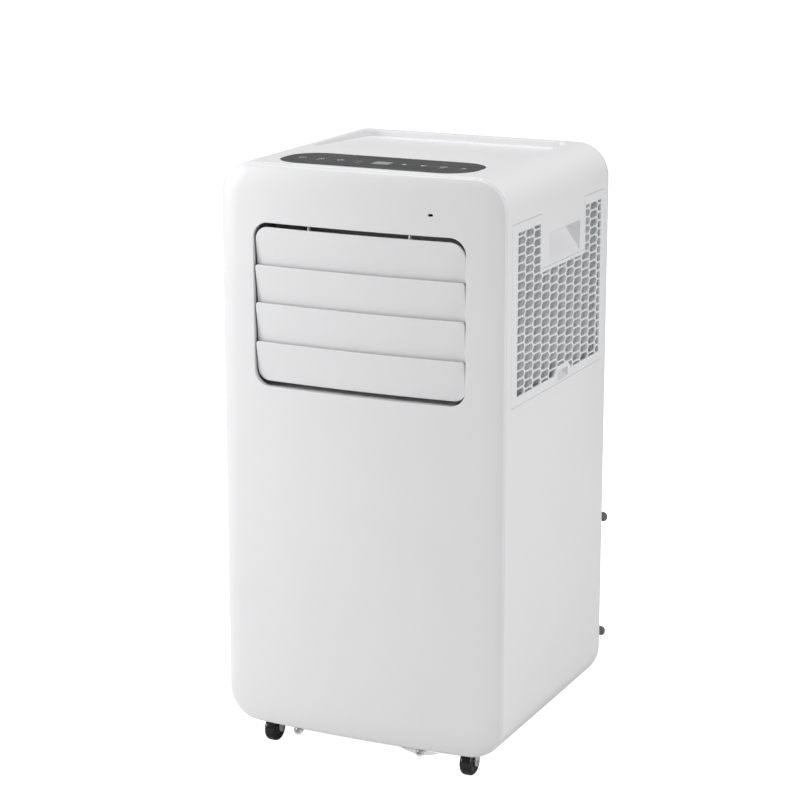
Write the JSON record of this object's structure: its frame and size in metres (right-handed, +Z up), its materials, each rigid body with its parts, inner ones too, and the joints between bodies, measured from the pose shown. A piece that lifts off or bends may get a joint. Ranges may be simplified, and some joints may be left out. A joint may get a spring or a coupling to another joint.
{
  "type": "portable air conditioner",
  "caption": "Upright portable air conditioner on castors: bowed front with louvres, top control panel, side grilles with handle pockets, rear outlet.",
  "frame": {"origin": "on the floor, under the middle of the bounding box", "axes": "-Y is the front with the louvres, +X is the user's right-hand side seen from the front, +Z is up"},
  "size_m": [0.355, 0.359, 0.703],
  "materials": {
    "white_plastic": "fine satin moulded ABS, cool white",
    "slat_plastic": "satin white ABS",
    "panel_gloss": "dark grey gloss touch lens",
    "display_lens": "light grey display window",
    "board": "green circuit board",
    "receiver_lens": "black infrared window",
    "duct_grey": "dark grey moulded plastic",
    "inner_plastic": "unpainted grey-white plastic",
    "motor_steel": "plated steel",
    "coil_fins": "aluminium coil fins with a pale coating",
    "black_paint": "black paint",
    "copper_pipe": "bare copper",
    "grey_rubber": "mid grey rubbery plastic",
    "black_nylon": "black nylon",
    "filter_net": "grey woven filter net",
    "fork_grey": "light grey nylon",
    "wheel_black": "black polished nylon",
    "screw_steel": "zinc-plated steel"
  },
  "bodies": {
    "cabinet": {"front_cover": "white_plastic", "body_wrap": "white_plastic", "top_tray": "white_plastic", "rear_cover": "white_plastic", "base_tray": "white_plastic", "lug_screw_left": "screw_steel", "lug_screw_right": "screw_steel", "control_panel": "panel_gloss", "display_window": "display_lens", "control_board": "board", "receiver_window": "receiver_lens", "louver_frame": "inner_plastic", "louver_motor": "inner_plastic", "blower_scroll": "inner_plastic", "blower_motor": "motor_steel", "fan_housing": "inner_plastic", "fan_motor": "motor_steel", "hot_air_duct": "inner_plastic", "exhaust_collar": "duct_grey", "water_tray": "inner_plastic", "evaporator_right": "coil_fins", "evaporator_left": "coil_fins", "condenser": "coil_fins", "compressor": "black_paint", "accumulator": "black_paint", "discharge_pipe": "copper_pipe", "electrics_box": "inner_plastic", "capacitor": "motor_steel", "cord_hook_lower": "grey_rubber", "cord_hook_upper": "grey_rubber", "drain_spout": "inner_plastic", "cord_gland": "black_nylon"},
    "louver_1": {"louver_1": "slat_plastic"},
    "louver_2": {"louver_2": "slat_plastic"},
    "louver_3": {"louver_3": "slat_plastic"},
    "louver_4": {"louver_4": "slat_plastic"},
    "link_bar": {"link_bar": "duct_grey"},
    "blower": {"blower_wheel": "inner_plastic"},
    "fan": {"fan_wheel": "duct_grey"},
    "filter_right": {"filter_frame_right": "white_plastic", "filter_mesh_right": "filter_net"},
    "filter_left": {"filter_frame_left": "white_plastic", "filter_mesh_left": "filter_net"},
    "drain_plug": {"drain_plug": "grey_rubber"},
    "swivel_front_left": {"castor_fork_front_left": "fork_grey", "castor_axle_front_left": "screw_steel"},
    "wheel_front_left": {"castor_wheel_front_left": "wheel_black"},
    "swivel_front_right": {"castor_fork_front_right": "fork_grey", "castor_axle_front_right": "screw_steel"},
    "wheel_front_right": {"castor_wheel_front_right": "wheel_black"},
    "swivel_rear_left": {"castor_fork_rear_left": "fork_grey", "castor_axle_rear_left": "screw_steel"},
    "wheel_rear_left": {"castor_wheel_rear_left": "wheel_black"},
    "swivel_rear_right": {"castor_fork_rear_right": "fork_grey", "castor_axle_rear_right": "screw_steel"},
    "wheel_rear_right": {"castor_wheel_rear_right": "wheel_black"}
  },
  "joints": [
    {"name": "louver_1_tilt", "type": "hinge", "parent": "cabinet", "child": "louver_1", "pos_m": [0, -0.157, 0.6076], "axis": [1, 0, 0], "range_deg": [0, 55]},
    {"name": "louver_2_tilt", "type": "hinge", "parent": "cabinet", "child": "louver_2", "pos_m": [0, -0.157, 0.5635], "axis": [1, 0, 0], "range_deg": [0, 55]},
    {"name": "louver_3_tilt", "type": "hinge", "parent": "cabinet", "child": "louver_3", "pos_m": [0, -0.157, 0.5189], "axis": [1, 0, 0], "range_deg": [0, 55]},
    {"name": "louver_4_tilt", "type": "hinge", "parent": "cabinet", "child": "louver_4", "pos_m": [0, -0.157, 0.47435], "axis": [1, 0, 0], "range_deg": [0, 55]},
    {"name": "link_bar_pivot", "type": "hinge", "parent": "louver_1", "child": "link_bar", "pos_m": [-0.1137, -0.141, 0.5876], "axis": [1, 0, 0], "range_deg": [-55, 0]},
    {"name": "blower_spin", "type": "hinge", "parent": "cabinet", "child": "blower", "pos_m": [0, 0.015, 0.535], "axis": [1, 0, 0], "continuous": true},
    {"name": "fan_spin", "type": "hinge", "parent": "cabinet", "child": "fan", "pos_m": [0, 0.078, 0.198], "axis": [0, 1, 0], "continuous": true},
    {"name": "filter_right_tilt", "type": "hinge", "parent": "cabinet", "child": "filter_right", "pos_m": [0.1775, -0.01025, 0.651], "axis": [0, -1, 0], "range_deg": [0, 30]},
    {"name": "filter_left_tilt", "type": "hinge", "parent": "cabinet", "child": "filter_left", "pos_m": [-0.1775, -0.01025, 0.651], "axis": [0, 1, 0], "range_deg": [0, 30]},
    {"name": "drain_plug_pull", "type": "slide", "parent": "cabinet", "child": "drain_plug", "axis": [0, 1, 0], "range_m": [0, 0.02]},
    {"name": "swivel_front_left_turn", "type": "hinge", "parent": "cabinet", "child": "swivel_front_left", "pos_m": [-0.1278, -0.139, 0.036], "axis": [0, 0, 1], "continuous": true},
    {"name": "wheel_front_left_roll", "type": "hinge", "parent": "swivel_front_left", "child": "wheel_front_left", "pos_m": [-0.1278, -0.144, 0.016], "axis": [1, 0, 0], "continuous": true},
    {"name": "swivel_front_right_turn", "type": "hinge", "parent": "cabinet", "child": "swivel_front_right", "pos_m": [0.1278, -0.139, 0.036], "axis": [0, 0, 1], "continuous": true},
    {"name": "wheel_front_right_roll", "type": "hinge", "parent": "swivel_front_right", "child": "wheel_front_right", "pos_m": [0.1278, -0.144, 0.016], "axis": [1, 0, 0], "continuous": true},
    {"name": "swivel_rear_left_turn", "type": "hinge", "parent": "cabinet", "child": "swivel_rear_left", "pos_m": [-0.116, 0.136, 0.036], "axis": [0, 0, 1], "continuous": true},
    {"name": "wheel_rear_left_roll", "type": "hinge", "parent": "swivel_rear_left", "child": "wheel_rear_left", "pos_m": [-0.116, 0.131, 0.016], "axis": [1, 0, 0], "continuous": true},
    {"name": "swivel_rear_right_turn", "type": "hinge", "parent": "cabinet", "child": "swivel_rear_right", "pos_m": [0.116, 0.136, 0.036], "axis": [0, 0, 1], "continuous": true},
    {"name": "wheel_rear_right_roll", "type": "hinge", "parent": "swivel_rear_right", "child": "wheel_rear_right", "pos_m": [0.116, 0.131, 0.016], "axis": [1, 0, 0], "continuous": true}
  ],
  "couplings": [
    {"joint": "louver_2_tilt", "follows": "louver_1_tilt", "ratio": 1},
    {"joint": "louver_3_tilt", "follows": "louver_1_tilt", "ratio": 1},
    {"joint": "louver_4_tilt", "follows": "louver_1_tilt", "ratio": 1},
    {"joint": "link_bar_pivot", "follows": "louver_1_tilt", "ratio": -1}
  ]
}
